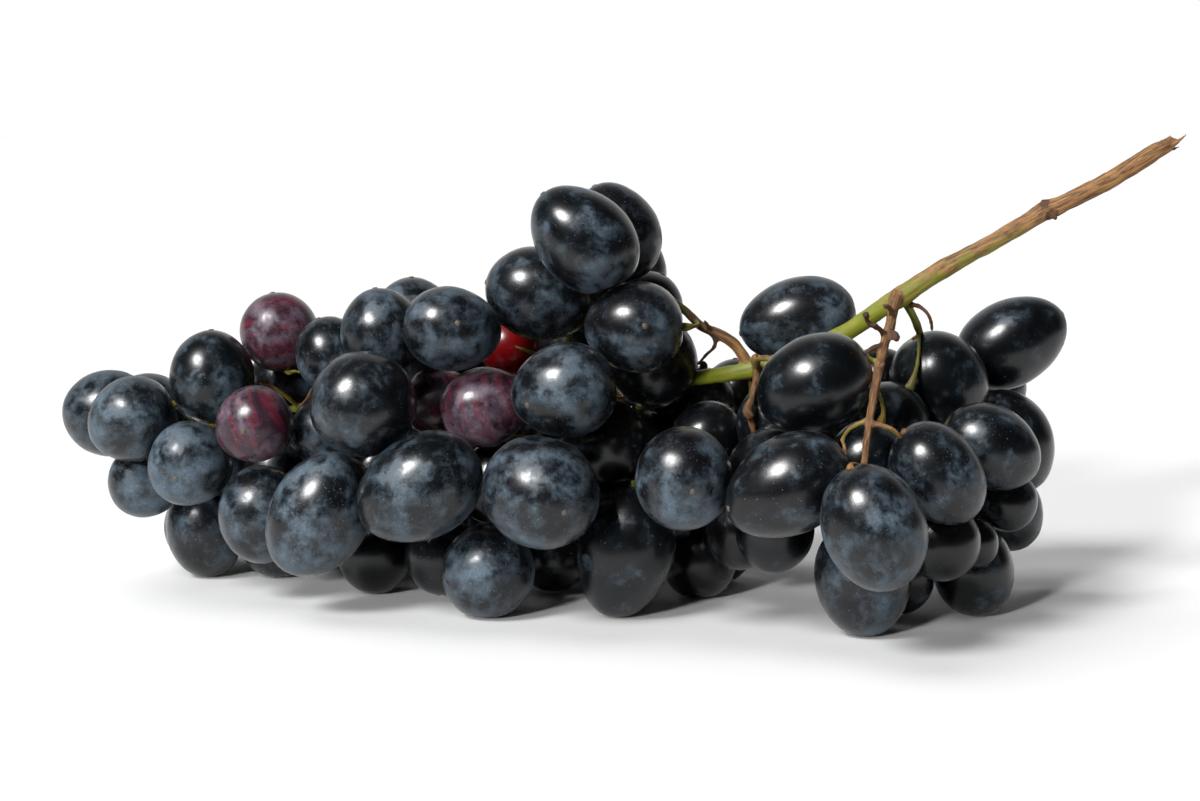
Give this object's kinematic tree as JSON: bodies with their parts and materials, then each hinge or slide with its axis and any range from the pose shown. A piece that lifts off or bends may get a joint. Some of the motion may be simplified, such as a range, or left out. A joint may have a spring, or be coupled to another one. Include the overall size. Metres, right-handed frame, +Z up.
{
  "type": "bunch of grapes",
  "caption": "Bunch of dark blue table grapes lying on its side, with a woody and green branched stalk.",
  "frame": {"origin": "on the ground, under the middle of the bunch's box", "axes": "+X along the bunch from its tip to the end of the stalk, +Y away from the side that the picture shows, +Z up"},
  "size_m": [0.2414, 0.123, 0.1024],
  "materials": {
    "stalk": "green stalk, brown and woody towards its broken end",
    "dark_skin": "near-black blue skin under a cloudy waxy bloom",
    "purple_skin": "dull purple skin with reddish streaks and bloom",
    "red_skin": "bright red, slightly translucent skin"
  },
  "bodies": {
    "root": {"stem": "stalk", "berries_tip": "dark_skin", "berries_left_low": "dark_skin", "berries_left_top": "dark_skin", "berries_centre_left": "dark_skin", "berries_centre": "dark_skin", "berries_top": "dark_skin", "berries_middle": "dark_skin", "berries_right_middle": "dark_skin", "berries_right_rear": "dark_skin", "berries_right_front": "dark_skin", "berries_back_left": "dark_skin", "berries_back_middle": "dark_skin", "berries_back_top": "dark_skin", "berries_back_right": "dark_skin", "berries_far_right": "dark_skin", "berry_purple_high": "purple_skin", "berry_purple_left": "purple_skin", "berries_purple_middle": "purple_skin", "berry_red": "red_skin"}
  },
  "joints": []
}
